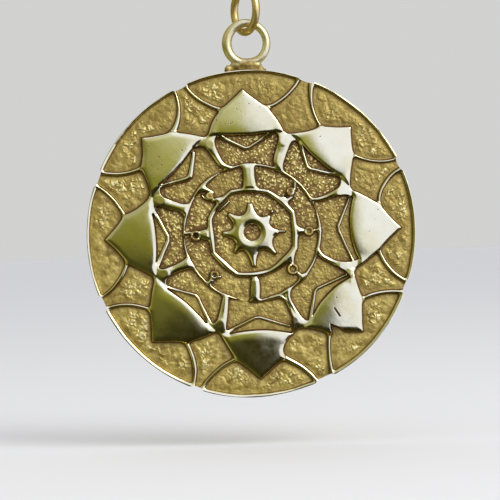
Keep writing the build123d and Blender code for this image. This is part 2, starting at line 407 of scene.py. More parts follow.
def clouds(size, seed):
    """Smooth random heights from -1 to 1, with lumps of one size."""
    count = int(2 * grid_half / size) + 3
    table = np.random.default_rng(seed).uniform(-1, 1, (count, count))
    across, down = (U + grid_half) / size, (V + grid_half) / size
    i, j = across.astype(int), down.astype(int)
    fu, fv = smooth(across - i), smooth(down - j)
    upper = table[j, i] * (1 - fu) + table[j, i + 1] * fu
    lower = table[j + 1, i] * (1 - fu) + table[j + 1, i + 1] * fu
    return upper * (1 - fv) + lower * fv


def crumbs(size, seed, ragged=0.0):
    """Grains of one size, scattered without order, of uneven height from 0 to 1."""
    rng = np.random.default_rng(seed)
    count = int(2 * grid_half / size) + 5
    places = rng.random((count, count, 2))
    heights = rng.uniform(0.3, 1.0, (count, count))
    across = (U + grid_half + ragged * clouds(0.8 * size, seed + 50)) / size + 1
    down = (V + grid_half + ragged * clouds(0.8 * size, seed + 51)) / size + 1
    i, j = across.astype(int), down.astype(int)
    top = np.zeros(U.shape)
    for di in (-1, 0, 1):
        for dj in (-1, 0, 1):
            place = places[j + dj, i + di]
            distance = np.hypot(i + di + place[..., 0] - across, j + dj + place[..., 1] - down)
            dome = heights[j + dj, i + di] * (1 - (distance / 0.85) ** 2)
            top = np.maximum(top, dome)
    return top


# The casting is hand made, so every line wanders a little
DRAW_U = U + 0.04 * clouds(1.7, 11) + 0.012 * clouds(0.6, 13)
DRAW_V = V + 0.04 * clouds(1.7, 12) + 0.012 * clouds(0.6, 14)


def spot(radius, turn):
    """A point of the drawing, by its distance from the middle and its angle."""
    return radius * np.array([np.cos(np.radians(turn)), np.sin(np.radians(turn))])


def heading(index):
    """The direction of a sector, in degrees."""
    return pattern_turn + index * 360 / sectors


def at(index, radius, turn):
    """A point of a sector, by its distance from the middle and its turn from the sector's direction."""
    return spot(radius, heading(index) + turn)


def bow(start, middle, end, count=13):
    """Points along the round arc through three points."""
    a, b, c = (complex(*point) for point in (start, middle, end))
    skew = (c - a) / (b - a)
    centre = a - (a - b) * (skew - abs(skew) ** 2) / 2j / skew.imag
    first, last = np.angle((b - centre) / (a - centre)), np.angle((c - centre) / (b - centre))
    points = centre + (a - centre) * np.exp(1j * np.linspace(0, first + last, count))
    return list(np.stack([points.real, points.imag], axis=1))


def curve(knots, steps=6):
    """A smooth run through a few knots, which are places or places with a width."""
    knots = np.array(knots, float)
    ends = np.vstack([2 * knots[0] - knots[1], knots, 2 * knots[-1] - knots[-2]])
    t = np.linspace(0, 1, steps, endpoint=False)[:, None]
    runs = []
    for a, b, c, d in zip(ends, ends[1:], ends[2:], ends[3:]):
        square = t**2 * (a - 2.5 * b + 2 * c - d / 2)
        cube = t**3 * (1.5 * (b - c) + (d - a) / 2)
        runs.append(b + t * (c - a) / 2 + square + cube)
    return np.vstack([*runs, knots[-1:]])


def tapered(points, width, shares):
    """A run of points with a width that changes evenly between some shares of it."""
    places, stops = np.linspace(0, 1, len(points)), np.linspace(0, 1, len(shares))
    return np.column_stack([points, np.interp(places, stops, width * np.array(shares))])


def near(points, margin):
    """The part of the grid that lies within a margin of some points."""
    low = np.clip((np.min(points, axis=0) - margin + grid_half) / grid_step, 0, len(axis)).astype(int)
    high = np.clip((np.max(points, axis=0) + margin + grid_half) / grid_step, 0, len(axis)).astype(int)
    return slice(low[1], high[1]), slice(low[0], high[0])


def from_line(u, v, line):
    """Distance from a run of straight lines. Where its points have a width too, it is negative inside."""
    line = np.asarray(line)
    best = np.full(u.shape, np.inf)
    for a, b in zip(line[:-1], line[1:]):
        x, y = b[0] - a[0], b[1] - a[1]
        share = np.clip(((u - a[0]) * x + (v - a[1]) * y) / (x * x + y * y), 0, 1)
        distance = np.hypot(u - a[0] - share * x, v - a[1] - share * y)
        if len(a) > 2:
            distance -= (a[2] + share * (b[2] - a[2])) / 2
        best = np.minimum(best, distance)
    return best


def is_inside(u, v, points):
    inside = np.zeros(u.shape, bool)
    for a, b in zip(points, points[1:] + points[:1]):
        if a[1] != b[1]:
            crosses = (a[1] > v) != (b[1] > v)
            inside ^= crosses & (u < (b[0] - a[0]) * (v - a[1]) / (b[1] - a[1]) + a[0])
    return inside


def from_outline(u, v, points):
    """Distance from a closed outline, negative inside it."""
    distance = from_line(u, v, points + points[:1])
    return np.where(is_inside(u, v, points), -distance, distance)


def wall(distance, width=wall_width):
    """1 inside an edge, falling to 0 at the foot of its sloping wall."""
    return smooth(width - distance, 0, width)


def rise(distance, width, power=2):
    """0 at an edge, rising ever more gently to 1 at that distance from it."""
    return 1 - np.clip(1 - distance / width, 0, 1.6) ** power


def lip_points(index):
    """The inner edge of a petal, from its low end to its high end."""
    row = LIPS[index]
    return bow(
        at(index, lip_end_radius * row.low, row.low_turn),
        at(index, lip_radius * row.radius, row.turn),
        at(index, lip_end_radius * row.high, row.high_turn),
    )


def chevron_points(index):
    """The low end of a chevron, its apex and its high end."""
    row = CHEVRONS[index]
    return [
        at(index, lip_end_radius * row.low, row.low_turn),
        at(index, chevron_radius * row.radius, row.turn),
        at(index, lip_end_radius * row.high, row.high_turn),
    ]


def notch(index):
    """The inner corner between a petal and the next one."""
    row = PETALS[index]
    return at(index, notch_radius * row.notch, row.notch_turn)


def neck(index):
    """The middle of the join between a petal and the next one."""
    return at(index, neck_radius, PETALS[index].notch_turn)


def feet(index):
    """Where the two bowed lines meet the petal."""
    row = PETALS[index]
    low = at(index, foot_radius * row.low, row.low_turn)
    high = at(index, foot_radius * row.high, row.high_turn)
    return low, high


def uneven_edge(turns):
    """The disc's outline as a share of its radius, a little uneven."""
    fine = np.arange(0, 360)
    share = np.interp(fine, *zip(*EDGE), period=360)
    spread = np.exp(-0.5 * (np.minimum(fine, 360 - fine) / edge_spread) ** 2)
    share = np.fft.irfft(np.fft.rfft(share) * np.fft.rfft(spread / spread.sum()), 360)
    return 1 + np.interp(turns % 360, fine, share, period=360)


def disc_edge(turns):
    """The same outline, dipped in each gap of the rim."""
    outline = uneven_edge(turns)
    for i, row in enumerate(CELLS):
        low = heading(i) + row.rim_high
        high = heading(i + 1) + CELLS[(i + 1) % sectors].rim_low
        away = np.abs((turns - (low + high) / 2 + 180) % 360 - 180)
        outline -= gap_dip * smooth((high - low) / 2 + gap_reach - away, 0, gap_fade)
    return outline


def cell_lines(index):
    """The rim of one outer cell and its two bowed lines."""
    row, turn = CELLS[index], heading(index)
    foot_low, foot_high = feet(index)
    rim_turns = np.linspace(turn + row.rim_low, turn + row.rim_high, 15)
    rim_radii = disc_radius * uneven_edge(rim_turns) - rim_inset
    rim = [spot(radius, place) for radius, place in zip(rim_radii, rim_turns)]
    low = bow(rim[0], at(index, bow_radius, row.low_bow), foot_low)
    high = bow(rim[-1], at(index, bow_radius, row.high_bow), foot_high)
    return [
        tapered(rim, rim_width, (row.rim_low_width, row.rim_high_width)),
        tapered(low, arc_width, (row.low_top, row.low_width, row.low_foot)),
        tapered(high, arc_width, (row.high_top, row.high_width, row.high_foot)),
    ]


def spoke_line(index):
    """The spoke from a notch down to the round line."""
    row = SPOKES[index]
    top_radius = np.hypot(*notch(index)) - spoke_width * row.top_width / 2
    return curve([
        (*at(index, top_radius, row.top_turn), spoke_width * row.top_width),
        (*at(index, spoke_radius, row.turn), spoke_width * row.width),
        (*at(index, root_radius, row.root_turn), spoke_width * row.root_width),
        (*at(index, circle_radius + spoke_end, row.foot_turn), spoke_width * row.foot_width),
    ])


def side_line(index):
    """One side of the octagon, slightly bowed."""
    before, row = SIDES[index - 1], SIDES[index]
    low = at(index - 1, octagon_radius * before.corner, before.corner_turn)
    middle = at(index, octagon_radius * row.radius, 0)
    high = at(index, octagon_radius * row.corner, row.corner_turn)
    shares = (before.corner_width, row.width, row.corner_width)
    return tapered(bow(low, middle, high), octagon_width, shares)


def bar_line(sector, knots):
    """A bar or a small line through its knots."""
    gap = circle_radius - octagon_radius
    return curve([
        (*at(sector, octagon_radius + gap * reach, turn), bar_width * width)
        for turn, reach, width in knots
    ])


def circle_line():
    """The round line, a little uneven in width."""
    turns = np.arange(0, 363, 3.0)
    places = [heading(i) + turn for i in range(sectors) for turn in circle_turns]
    widths = circle_width * np.interp(turns, places, np.ravel(CIRCLE), period=360)
    return np.column_stack([spot(circle_radius, turns).T, widths])


def draw_lines():
    """Distance from the nearest raised line, negative inside it, all but the chevrons."""
    field = np.full(U.shape, far_away)

    def add(line, blend=flare, low=0.0, high=np.inf, least=None):
        """Adds a line, cut off where it leaves the ring between two radii, or below the least distance."""
        part = near(line[:, :2], line[:, 2].max() + 1.0)
        u, v = DRAW_U[part], DRAW_V[part]
        radius = np.hypot(u, v)
        distance = np.maximum(from_line(u, v, line), np.maximum(low - radius, radius - high))
        if least is not None:
            distance = np.maximum(distance, least[part])
        field[part] = soft_min(field[part], distance, blend)

    for i in range(sectors):
        add(side_line(i), corner_flare)
    octagon = [point[:2] for i in range(sectors) for point in side_line(i)[:-1]]
    middle = near([(0, 0)], circle_radius + 1.0)
    from_octagon = np.full(U.shape, far_away)
    from_octagon[middle] = from_outline(DRAW_U[middle], DRAW_V[middle], octagon)
    for sector, knots in BARS:
        line, reaches = bar_line(sector, knots), [reach for _, reach, _ in knots]
        if min(reaches) < 0:
            add(line, corner_flare)
        elif max(reaches) > 1.05:
            add(line, corner_flare, least=bar_start - from_octagon)
        else:
            add(line, high=circle_radius, least=bar_start - from_octagon)
    add(circle_line())
    for i in range(sectors):
        add(spoke_line(i), low=circle_radius)
        for line in cell_lines(i):
            add(line)
    return field


def draw_chevrons():
    """Distance from the nearest chevron, negative inside it."""
    field = np.full(U.shape, far_away)
    for i, row in enumerate(CHEVRONS):
        low, apex, high = chevron_points(i)
        widths = [chevron_width * share for share in (row.low_width, row.width, row.high_width)]
        before, after = apex + apex_share * (low - apex), apex + apex_share * (high - apex)
        points = [low, (low + apex) / 2, before, after, (apex + high) / 2, high]
        line = np.column_stack([points, np.interp((0, 1, 2, 2, 3, 4), (0, 2, 4), widths)])
        part = near(line[:, :2], 1.0)
        field[part] = np.minimum(field[part], from_line(DRAW_U[part], DRAW_V[part], line))
    return field


def add_beads(height):
    """Small cast beads on the bars, hollowed from the top."""
    for row in BEADS:
        centre = at(row.sector, bead_radius * row.radius, row.turn)
        part = near([centre], 3 * row.size)
        distance = np.hypot(DRAW_U[part] - centre[0], DRAW_V[part] - centre[1])
        bead = wall(distance - row.size)
        hole = 1 - smooth(distance, row.size - bead_wall - bead_blend, row.size - bead_wall)
        top = relief_height * (bead_share - hole_share * row.hole * hole)
        height[part] = height[part] * (1 - bead) + top * bead
    return height


def flank_points(index):
    """The outer edge of a petal, from the notch at its low side to the one at its high side."""
    row = PETALS[index]
    foot_low, foot_high = feet(index)
    tip = at(index, tip_radius * row.tip, row.tip_turn)
    bend_low = at(index, bend_radius * row.low_bend, row.low_bend_turn)
    bend_high = at(index, bend_radius * row.high_bend, row.high_bend_turn)
    low = list(curve([notch(index - 1), bend_low, foot_low], 4))
    high = list(curve([foot_high, bend_high, notch(index)], 4))
    inward = (foot_high - foot_low) / np.hypot(*(foot_high - foot_low))
    waist_low = (foot_low + tip) / 2 + waist * inward
    waist_high = (foot_high + tip) / 2 - waist * inward
    return low[:-1] + bow(foot_low, waist_low, tip, 7) + bow(tip, waist_high, foot_high, 7)[1:] + high[1:]


def petal_top(index, u, v, flank, lip):
    """Height of one pillowed petal, rounded off towards its lip and its outer edge."""
    turn, row, pillow = heading(index), LIPS[index], PILLOWS[index]
    # The lip's outline is closed far outside the disc, where it doesn't count
    from_lip = from_outline(u, v, [spot(40, turn - 80), *lip, spot(40, turn + 80)])
    from_flank = from_line(u, v, flank) * np.where(is_inside(u, v, [*flank, spot(0.1, turn)]), 1, -1)
    middle, slope_way = spot(foot_radius - 1, turn), spot(1, turn + pillow.slope_turn)
    across = ((u - middle[0]) * slope_way[0] + (v - middle[1]) * slope_way[1]) / petal_half_width
    across += pillow.shift
    height = relief_height + petal_lift + petal_crown * pillow.crown * np.clip(1 - across**2, 0, 1)
    out = spot(1, turn)
    sideways = np.abs(v * out[0] - u * out[1]) / petal_half_width
    fade = 1 - smooth(sideways, lip_fade_start, lip_fade_end)
    height += lip_fall * row.fall * fade * (rise(from_lip, lip_width * row.width, lip_power) - 1)
    height += flank_fall * pillow.flank * rise(from_flank, flank_width)
    height += edge_fall * rise(np.minimum(from_lip, from_flank), edge_width)
    return height + outside_slope * np.minimum(from_flank, 0)


def draw_star():
    """Distance from the polished star, negative inside it, and the height of its pillowed petals."""
    field = np.full(U.shape, far_away)
    top = np.full(U.shape, relief_height - petal_drop)
    for i in range(sectors):
        flank, lip = flank_points(i), lip_points(i)
        part = near(flank + lip, 1.6)
        u, v = DRAW_U[part], DRAW_V[part]
        outline = [*flank, neck(i), *lip[::-1], neck(i - 1)]
        field[part] = soft_min(field[part], from_outline(u, v, outline), petal_flare)
        top[part] = np.maximum(top[part], petal_top(i, u, v, flank, lip))
    spur = curve([(*at(sectors - 1, radius, turn), width) for radius, turn, width in SPUR])
    part = near(spur[:, :2], 1.0)
    field[part] = np.maximum(field[part], -from_line(U[part], V[part], spur))
    return field, blur(top, petal_soften) - skirt_slope * np.clip(field - skirt_start, 0, None)


def draw_necks():
    """1 where two petals join, falling to 0 around."""
    share = np.zeros(U.shape)
    for i in range(sectors):
        u, v = neck(i)
        share = np.maximum(share, smooth(neck_reach - np.hypot(U - u, V - v), 0, neck_fade))
    return share


def scoop(start, middle, end, count=9):
    """Points along the parabola through three points."""
    t = np.linspace(0, 1, count)[:, None]
    corner = 2 * middle - (start + end) / 2
    return list((1 - t) ** 2 * start + 2 * t * (1 - t) * corner + t**2 * end)


def small_star_outline():
    """The small star's blunt points with a scallop after each."""
    ends = []
    for i, row in enumerate(POINTS):
        for turn in (row.turn - row.blunt, row.turn + row.blunt):
            ends.append(at(i, point_radius * row.radius, turn))
    outline = []
    for i, row in enumerate(POINTS):
        scallop = at(i, scallop_radius * row.scallop, row.scallop_turn)
        outline += scoop(ends[2 * i + 1], scallop, ends[(2 * i + 2) % len(ends)])
    return outline


def draw_small_star():
    """Height of the scalloped star in the middle, and how far it covers the floor."""
    outline = small_star_outline()
    part = near(outline, 2.0)
    u, v = DRAW_U[part], DRAW_V[part]
    distance = from_outline(u, v, outline)
    radius = np.hypot(u, v)
    cover = wall(distance)
    top = relief_height - star_fall * np.clip(radius - eye_radius, 0, None)
    top -= star_round * (1 - rise(-distance, star_round_width))
    eye = np.clip((eye_radius - radius) / (eye_radius - pupil_radius), 0, 1)
    pupil = smooth(radius, pupil_radius - wall_width, pupil_radius)
    heights, covers = np.zeros(U.shape), np.zeros(U.shape)
    heights[part] = cover * (top - eye_fall * eye**2 - eye_depth * (1 - pupil))
    covers[part] = cover * smooth(radius, pupil_radius - pupil_blend, pupil_radius + pupil_blend)
    return blur(heights, star_soften), covers


def draw_recesses():
    """Where the shallow floors between petal and chevron lie, and how grainy the floors are."""
    inside, grain = np.zeros(U.shape), np.ones(U.shape)
    for i, row in enumerate(CHEVRONS):
        outline = lip_points(i) + chevron_points(i)[::-1]
        part = near(outline, 1.0)
        share = wall(from_outline(DRAW_U[part], DRAW_V[part], outline))
        inside[part] = np.maximum(inside[part], share)
        grain[part] *= 1 - share * (1 - row.grain)
    return inside, grain


def around(turn, width):
    """1 in one direction from the middle, falling to 0 over a width in degrees."""
    return smooth(width - np.abs((TURN - turn + 180) % 360 - 180), 0, width)


def draw_floor(grain, open_ground):
    """The skin of the sunk floors, soft outside and finer and sharper inside, its flakes and hollows."""
    inner = 1 - smooth(RADIUS, fine_radius, coarse_radius)
    sharp = inner * np.clip(around(60, 80) + 0.7 * around(180, 60) + 0.2, 0, 1)
    patches = smooth(clouds(1.7, 26) + 0.6 * clouds(0.8, 27), -0.5, 0.6) * (1 - 0.6 * around(75, 50))
    soft = 0.10 * crumbs(0.75, 21, 0.3) + 0.03 * clouds(0.9, 23) + 0.05 * crumbs(0.45, 22, 0.2)
    flakes = smooth(crumbs(0.42, 28, 0.3), 0.3, 0.85) * patches * (1 - 0.7 * inner) * open_ground
    flakes = np.maximum(flakes, smooth(crumbs(0.25, 24, 0.1), 0.3, 0.9) * (0.15 + 0.85 * sharp) * inner)
    floor = soft * (1 - 0.4 * inner) * (0.4 + 0.6 * open_ground) + 0.11 * flakes
    hollows = smooth(0.08 - floor, 0, 0.06) * (0.6 * open_ground * patches + 1.2 * sharp)
    return floor * (0.3 + 0.7 * grain), flakes * grain, hollows * grain


def add_pits(height, cover):
    """Small casting pits in the polished petals, and a scar. Also returns how deep each point lies in one."""
    rng = np.random.default_rng(41)
    pits = np.zeros(U.shape)
    places = [([at(0, radius, turn) for radius, turn in SCAR], scar_size)]
    for i, count in enumerate(PITS):
        for _ in range(count):
            place = at(i, rng.uniform(*pit_radii), rng.uniform(*pit_turns))
            places.append(([place, place + 0.01], rng.uniform(*pit_sizes)))
    for line, size in places:
        part = near(line, 0.5)
        distance = from_line(U[part], V[part], line)
        depth = smooth(size + pit_reach - distance, 0, pit_edge) * (cover[part] > 0.9)
        pits[part] = np.maximum(pits[part], depth)
    return height - pit_depth * pits, pits


def draw_ridges(ridges):
    """Height of the raised lines and chevrons, lower where they are thin and rounded at their edges."""
    broad = smooth(blur(wall(ridges), 0.5), 0.2, 0.7)
    top = relief_height * (thin_share + (1 - thin_share) * broad)
    top -= ridge_round * (1 - rise(-ridges, ridge_round_width))
    return blur(top, ridge_soften)


def draw_patina_and_painted_shade(plain, in_recess, hollows):
    """How dark each point is painted, as patina and painted shade: at the foot of walls, in narrow places, in
    hollows, in the pupil and on steep walls.
    """
    # Patina and painted shade at the foot of walls, painted shade in narrow places
    foot = np.clip((blur(plain, foot_reach) - plain) / (0.3 * relief_height), 0, 1)
    shade = np.clip((blur(plain, shade_reach) - plain) / (0.4 * relief_height), 0, 1)
    # Steep walls are painted dark brown, as painted shade
    steep = smooth(np.hypot(*np.gradient(plain, grid_step)), 0.8, 2.4)
    patina_and_shade = (0.36 * foot + 0.14 * shade) * (1 - 0.4 * in_recess) + 0.4 * hollows
    patina_and_shade += 0.2 * (1 - smooth(RADIUS, pupil_radius - 0.2, pupil_radius))
    on_rim = smooth(RADIUS, rim_radius, rim_radius + 0.5)
    return np.maximum(patina_and_shade, 0.7 * steep) * (1 - 0.4 * on_rim)


def draw_relief():
    """The finished height of every grid point over the sunk floor, and what each point is."""
    star, star_top = draw_star()
    lines = draw_lines()
    chevrons = draw_chevrons()
    in_recess, grain = draw_recesses()
    ridge_top = draw_ridges(soft_min(lines, chevrons, chevron_flare))
    necks = draw_necks()
    for top in (star_top, ridge_top):
        top += necks * (relief_height + neck_rise - top)
    raised = soft_min(soft_min(star, lines, petal_flare), chevrons, chevron_flare)
    slope = wall_width + lip_slope * in_recess * smooth(chevrons - star, -0.1, 0.3)
    cover = wall(raised, slope)
    tops = cover * soft_max(star_top, ridge_top, 0.06)
    small_star, small_cover = draw_small_star()
    plain = np.maximum(np.maximum(add_beads(tops), small_star), recess_height * in_recess)
    cover = np.maximum(cover, small_cover)
    floor, flakes, hollows = draw_floor(grain, smooth(raised, 0.25, 0.8))
    open_floor = 1 - smooth(cover, 0.0, 0.6)
    height = plain + floor * open_floor
    height += 0.005 * clouds(2.4, 31) + 0.002 * clouds(1.1, 32)
    height, pits = add_pits(height, smooth(-star, 0.1, 0.2))
    marks = {
        "floor": 1 - smooth(cover, 0.15, 0.6),
        # Darkening by patina and painted shade, and the dark pits
        "patina_and_painted_shade": np.maximum(draw_patina_and_painted_shade(plain, in_recess, hollows * open_floor), pits),
        "flakes": flakes * open_floor,
        # Painted light: the floors are painted lighter towards the lower left
        "painted_light": 0.5 + 0.5 * np.cos(np.radians(TURN - painted_light_turn)),
    }
    return height, marks


def read(field, u, v):
    """The value of a grid field at any point."""
    across, down = (u + grid_half) / grid_step, (v + grid_half) / grid_step
    i, j = across.astype(int), down.astype(int)
    fu, fv = across - i, down - j
    upper = field[j, i] * (1 - fu) + field[j, i + 1] * fu
    lower = field[j + 1, i] * (1 - fu) + field[j + 1, i + 1] * fu
    return upper * (1 - fv) + lower * fv


dome_radius = (disc_radius**2 + dome_rise**2) / (2 * dome_rise)


def floor_y(radius):
    """Depth of the sunk floor, which follows the dome of the face."""
    return crown_y + crown_height + dome_radius - np.sqrt(dome_radius**2 - radius**2)


# Meshes
face_rings = 360
face_splits = (0, 182, 257, 315, 360)
face_names = ("face_centre", "face_lines", "face_petals", "face_rim")


def ring_points(first, last, rings):
    """Share of the radius and angle of the points on rings of six, twelve, eighteen and so on."""
    counts = [max(6 * ring, 1) for ring in range(first, last + 1)]
    shares = np.repeat(np.arange(first, last + 1) / rings, counts)
    turns = np.concatenate([np.arange(count) * 360 / count for count in counts])
    return shares, turns


def ring_triangles(first, last):
    """Triangles between those rings."""
    start = np.cumsum([0] + [max(6 * ring, 1) for ring in range(first, last + 1)])
    triangles = []
    for ring in range(first + 1, last + 1):
        outer, inner = start[ring - first], start[ring - 1 - first]
        for side in range(6):
            step = np.arange(ring)
            here = outer + side * ring + step
            after = outer + (side * ring + step + 1) % (6 * ring)
            below = inner + (side * (ring - 1) + step) % max(6 * (ring - 1), 1)
            triangles.append(np.stack([here, after, below], axis=1))
            triangles.append(np.stack([below[:-1], after[:-1], below[1:]], axis=1))
    return np.concatenate(triangles)


def tube_faces(rows, columns, closed=False):
    """Faces between rows of points that each run round a tube. closed joins the last row to the first."""
    here = np.arange(rows if closed else rows - 1)[:, None] * columns
    above = (here + columns) % (rows * columns)
    side = np.arange(columns)
    after = (side + 1) % columns
    corners = [here + side, above + side, above + after, here + after]
    return np.stack(corners, axis=-1).reshape(-1, 4)


def add_mesh(name, points, faces, normals=None, marks=None):
    """A smooth mesh object from points in millimetres."""
    mesh = bpy.data.meshes.new(name)
    mesh.from_pydata((np.asarray(points) * MM).tolist(), [], [list(face) for face in faces])
    mesh.shade_smooth()
    if normals is not None:
        mesh.normals_split_custom_set_from_vertices(normals.tolist())
    for mark, values in (marks or {}).items():
        mesh.attributes.new(mark, "FLOAT", "POINT").data.foreach_set("value", values.astype(np.float32))
    piece = bpy.data.objects.new(name, mesh)
    bpy.context.collection.objects.link(piece)
    return piece


def placed(u, v, y):
    """Points of the piece, by their place in the drawing and their depth."""
    return np.stack([u, np.broadcast_to(y, u.shape), v + disc_z], axis=1)


def build_face(height, marks):
    """The face in four rings that share their borders."""
    slope_v, slope_u = np.gradient(height, grid_step)
    pieces = []
    for name, first, last in zip(face_names, face_splits, face_splits[1:]):
        shares, turns = ring_points(first, last, face_rings)
        radius = shares * disc_radius * disc_edge(turns)
        u, v = spot(radius, turns)
        lean = 1 / np.sqrt(dome_radius**2 - radius**2)
        right, up = u * lean - read(slope_u, u, v), v * lean - read(slope_v, u, v)
        normals = np.stack([right, -np.ones(len(u)), up], axis=1)
        normals /= np.linalg.norm(normals, axis=1)[:, None]
        points = placed(u, v, floor_y(radius) - read(height, u, v))
        seen = {mark: read(field, u, v) for mark, field in marks.items()}
        pieces.append(add_mesh(name, points, ring_triangles(first, last), normals, seen))
    return pieces


def build_back(height):
    """The side wall, the rounded back edge and the flat back."""
    count = 6 * face_rings
    turns = np.arange(count) * 360 / count
    outline = disc_radius * disc_edge(turns)
    u, v = spot(outline, turns)
    edge_y = floor_y(outline) - read(height, u, v)
    rows = [(0.0, edge_y)]
    for share in np.linspace(0.15, 1, 6):
        y = edge_y + share * (back_y - back_round - edge_y)
        rows.append((-side_bulge * math.sin(math.pi * share), y))
    for lean in np.linspace(0, math.pi / 2, 6)[1:]:
        rows.append((back_round * (1 - math.cos(lean)), back_y - back_round * (1 - math.sin(lean))))
    points = []
    for inset, y in rows:
        share = 1 - inset / disc_radius
        points.append(placed(u * share, v * share, y))
    faces = tube_faces(len(rows), count).tolist()
    # Rings of fewer and fewer points lead over to the flat middle
    start, total = (len(rows) - 1) * count, len(rows) * count
    inset = back_round
    for halving in range(3):
        inset += back_step * 2**halving
        count //= 2
        share = 1 - inset / disc_radius
        step = 2 ** (halving + 1)
        points.append(placed(u[::step] * share, v[::step] * share, back_y))
        for i in range(count):
            low, middle, high = start + 2 * i, start + 2 * i + 1, start + (2 * i + 2) % (2 * count)
            here, after = total + i, total + (i + 1) % count
            faces += [[low, here, middle], [middle, after, high], [middle, here, after]]
        start, total = total, total + count
    rings = count // 6
    shares, hub_turns = ring_points(0, rings - 1, rings)
    radius = shares * (disc_radius - inset) * disc_edge(hub_turns)
    points.append(placed(*spot(radius, hub_turns), back_y))
    inner = ring_triangles(0, rings)
    shift = np.where(inner < len(radius), inner + total, inner - len(radius) + start)
    faces += shift[:, ::-1].tolist()
    points = np.concatenate(points)
    flat = points[:, 1] > back_y - 0.001
    wave = np.sin(points[flat, 0] * 0.9) * np.cos(points[flat, 2] * 0.7)
    points[flat, 1] -= back_sink + back_wave * wave
    return add_mesh("medallion_back", points, faces)


def torus(radius, wire, centre, turn, sides, wire_at=None, radius_at=None):
    """Points and faces of a wire ring that stands upright, turned about the vertical."""
    around_ring = np.arange(wire_steps) * 2 * np.pi / wire_steps
    around_wire = np.arange(sides) * 2 * np.pi / sides
    a, w = np.meshgrid(around_ring, around_wire, indexing="ij")
    thick = wire / 2 * (wire_at(a) if wire_at else 1)
    reach = (radius * (radius_at(a) if radius_at else 1)) + thick * np.cos(w)
    x, y, z = reach * np.cos(a), thick * np.sin(w), reach * np.sin(a)
    c, s = math.cos(math.radians(turn)), math.sin(math.radians(turn))
    points = np.stack([x * c - y * s, x * s + y * c, z + centre], axis=-1).reshape(-1, 3)
    # The corners are taken the other way round, so that the faces look outwards
    return points, tube_faces(wire_steps, sides, closed=True)[:, [0, 3, 2, 1]].tolist()


def ball(centre, reach, count=16):
    """Points and faces of a round lump, by its reach along the three axes."""
    points = []
    for i in range(count + 1):
        for j in range(2 * count):
            lift, turn = math.pi * i / count, math.pi * j / count
            flat = math.sin(lift)
            direction = np.array([flat * math.cos(turn), flat * math.sin(turn), math.cos(lift)])
            points.append(np.array(centre) + direction * np.array(reach))
    return np.array(points), tube_faces(count + 1, 2 * count).tolist()


def join(shapes):
    """Points and faces of several shapes as one."""
    points, faces, start = [], [], 0
    for some_points, some_faces in shapes:
        points.append(some_points)
        faces += [[start + index for index in face] for face in some_faces]
        start += len(some_points)
    return np.concatenate(points), faces


def fuse(piece):
    """Melts the shells of a piece into one skin and softens it."""
    remesh = piece.modifiers.new("melt", "REMESH")
    remesh.mode = "VOXEL"
    remesh.voxel_size = melt_size * MM
    soften = piece.modifiers.new("soften", "SMOOTH")
    soften.factor = 0.5
    soften.iterations = soften_rounds
    graph = bpy.context.evaluated_depsgraph_get()
    mesh = bpy.data.meshes.new_from_object(piece.evaluated_get(graph))
    piece.modifiers.clear()
    piece.data = mesh
    mesh.shade_smooth()


# Points round the two wire rings, how far the loop swells at its left and its foot and thins at its right,
# and how its shells are melted together
wire_steps = 144
swell_left = 0.22
thin_right = 0.02
swell_foot = 0.14
melt_size = 0.05
soften_rounds = 16

# Lumps of solder under the loop: place to the right, towards the viewer and above the disc's top edge,
# and reach along the three axes
SOLDER = table(
    "right front up width depth height",
    (-0.05, 0.0, 0.10, 1.75, 0.50, 0.42),
    (-0.10, 0.0, 0.42, 1.25, 0.56, 0.50),
    (0.80, 0.0, 0.36, 0.72, 0.48, 0.42),
    (-0.95, 0.0, 0.36, 0.80, 0.48, 0.45),
    (-1.90, 0.10, -0.08, 0.38, 0.42, 0.56),
    (-1.60, 0.0, 0.10, 0.45, 0.40, 0.36),
    (0.0, 0.0, -0.10, 2.0, 0.42, 0.28),
)


def build_loop():
    """The soldered wire loop, thicker at the left, with lumps of solder where it stands on the disc."""
    wire_radius = loop_radius - loop_wire / 2

    def wire_at(a):
        left, right = np.clip(-np.cos(a), 0, 1), np.clip(np.cos(a), 0, 1)
        foot = np.clip(-np.sin(a), 0, 1)
        return 1 + swell_left * left**1.5 - thin_right * right + swell_foot * foot**8

    def radius_at(a):
        return (loop_radius - loop_wire / 2 * wire_at(a)) / wire_radius

    loop_z = swing_z - loop_radius + loop_wire / 2
    shapes = [torus(wire_radius, loop_wire, loop_z, 0, 32, wire_at, radius_at)]
    for lump in SOLDER:
        centre = (lump.right, -lump.front, disc_z + disc_radius + lump.up)
        shapes.append(ball(centre, (lump.width, lump.depth, lump.height)))
    piece = add_mesh("soldered_loop", *join(shapes))
    fuse(piece)
    return piece


def build_ring():
    """The plain ring that the loop hangs on."""
    return add_mesh("hanging_ring", *torus(ring_radius, ring_wire, ring_z, ring_turn, 28))


